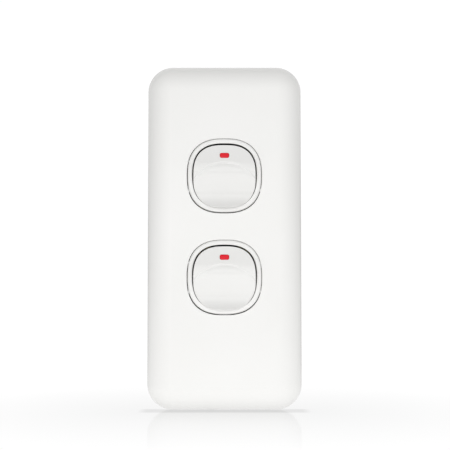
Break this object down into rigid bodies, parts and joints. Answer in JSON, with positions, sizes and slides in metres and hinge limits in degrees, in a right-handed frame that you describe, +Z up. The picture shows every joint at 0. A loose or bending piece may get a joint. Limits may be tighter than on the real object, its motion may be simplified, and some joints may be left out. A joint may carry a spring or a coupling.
{
  "type": "rocker wall switch",
  "caption": "Upright wall switch plate with rounded-square rocker mechanisms, a clip-on pillow-shaped cover, a screw-fixed grid plate and see-saw contacts inside.",
  "frame": {"origin": "centre of the cover's outline on the wall plane, midway between the two fixing screws", "axes": "+Y into the wall, +Z up along the plate, +X to the right seen from the front"},
  "size_m": [0.052, 0.0308, 0.116],
  "materials": {
    "cover_gloss": "high-gloss white moulding",
    "bezel_gloss": "high-gloss white moulding",
    "rocker_gloss": "high-gloss white moulding",
    "indicator_red": "smooth red insert",
    "grid_moulding": "satin light grey moulding",
    "case_moulding": "satin black moulding",
    "plated_steel": "zinc-plated",
    "terminal_brass": "turned and pressed brass",
    "contact_silver": "silver alloy",
    "spring_steel": "drawn wire",
    "plunger_nylon": "natural nylon"
  },
  "bodies": {
    "base": {"grid_plate": "grid_moulding", "fixing_screw_top": "plated_steel", "fixing_screw_bottom": "plated_steel", "case_upper": "case_moulding", "bezel_upper": "bezel_gloss", "fixed_contact_1_upper": "contact_silver", "fixed_contact_2_upper": "contact_silver", "terminal_1_upper": "terminal_brass", "terminal_2_upper": "terminal_brass", "common_terminal_upper": "terminal_brass", "loop_terminal_upper": "terminal_brass", "terminal_screw_1_upper": "plated_steel", "terminal_screw_2_upper": "plated_steel", "terminal_screw_3_upper": "plated_steel", "terminal_screw_4_upper": "plated_steel", "case_lower": "case_moulding", "bezel_lower": "bezel_gloss", "fixed_contact_1_lower": "contact_silver", "fixed_contact_2_lower": "contact_silver", "terminal_1_lower": "terminal_brass", "terminal_2_lower": "terminal_brass", "common_terminal_lower": "terminal_brass", "loop_terminal_lower": "terminal_brass", "terminal_screw_1_lower": "plated_steel", "terminal_screw_2_lower": "plated_steel", "terminal_screw_3_lower": "plated_steel", "terminal_screw_4_lower": "plated_steel"},
    "cover": {"cover_plate": "cover_gloss"},
    "rocker_upper": {"rocker_upper": "rocker_gloss", "indicator_upper": "indicator_red", "plunger_spring_upper": "spring_steel"},
    "plunger_upper": {"plunger_upper": "plunger_nylon"},
    "blade_upper": {"blade_upper": "terminal_brass", "blade_contact_1_upper": "contact_silver", "blade_contact_2_upper": "contact_silver"},
    "rocker_lower": {"rocker_lower": "rocker_gloss", "indicator_lower": "indicator_red", "plunger_spring_lower": "spring_steel"},
    "plunger_lower": {"plunger_lower": "plunger_nylon"},
    "blade_lower": {"blade_lower": "terminal_brass", "blade_contact_1_lower": "contact_silver", "blade_contact_2_lower": "contact_silver"}
  },
  "joints": [
    {"name": "cover_slide", "type": "slide", "parent": "base", "child": "cover", "axis": [0, -1, 0], "range_m": [0, 0.016]},
    {"name": "rocker_upper_hinge", "type": "hinge", "parent": "base", "child": "rocker_upper", "pos_m": [0, -0.0073, 0.0205], "axis": [1, 0, 0], "range_deg": [-12, 0]},
    {"name": "plunger_upper_slide", "type": "slide", "parent": "rocker_upper", "child": "plunger_upper", "axis": [0, -0.9945, -0.1045], "range_m": [0, 0.0006], "stiffness_N_per_m": 400, "springref_m": -0.001, "deforming": ["plunger_spring_upper"]},
    {"name": "blade_upper_hinge", "type": "hinge", "parent": "base", "child": "blade_upper", "pos_m": [0, 0.0056, 0.0205], "axis": [1, 0, 0], "range_deg": [0, 10]},
    {"name": "rocker_lower_hinge", "type": "hinge", "parent": "base", "child": "rocker_lower", "pos_m": [0, -0.0073, -0.0135], "axis": [1, 0, 0], "range_deg": [-12, 0]},
    {"name": "plunger_lower_slide", "type": "slide", "parent": "rocker_lower", "child": "plunger_lower", "axis": [0, -0.9945, -0.1045], "range_m": [0, 0.0006], "stiffness_N_per_m": 400, "springref_m": -0.001, "deforming": ["plunger_spring_lower"]},
    {"name": "blade_lower_hinge", "type": "hinge", "parent": "base", "child": "blade_lower", "pos_m": [0, 0.0056, -0.0135], "axis": [1, 0, 0], "range_deg": [0, 10]}
  ],
  "couplings": [
    {"joint": "blade_upper_hinge", "follows": "rocker_upper_hinge", "ratio": -0.8333},
    {"joint": "blade_lower_hinge", "follows": "rocker_lower_hinge", "ratio": -0.8333}
  ]
}
